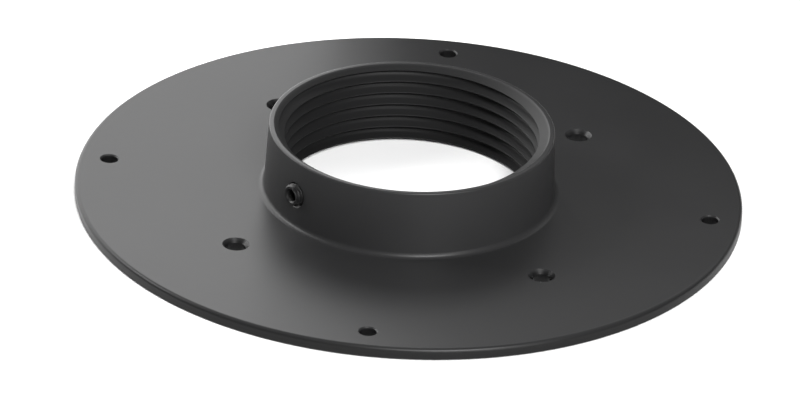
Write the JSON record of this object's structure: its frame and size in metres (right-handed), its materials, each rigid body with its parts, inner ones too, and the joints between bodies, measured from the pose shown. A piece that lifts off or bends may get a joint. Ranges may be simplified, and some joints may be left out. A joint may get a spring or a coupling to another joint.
{
  "type": "threaded pipe adapter",
  "caption": "Round mounting plate with a raised collar, threaded inside to take the end of a pipe, with screw holes through the plate and a set screw in the collar's side.",
  "frame": {"origin": "on the bore's axis, in the plane of the plate's flat underside", "axes": "+Z along the bore's axis, out of the collar's mouth; +X through one of the rim holes"},
  "size_m": [0.117, 0.117, 0.0145],
  "materials": {
    "body": "satin black coat",
    "screw": "black oxide"
  },
  "bodies": {
    "root": {"adapter_body": "body", "set_screw": "screw"}
  },
  "joints": []
}
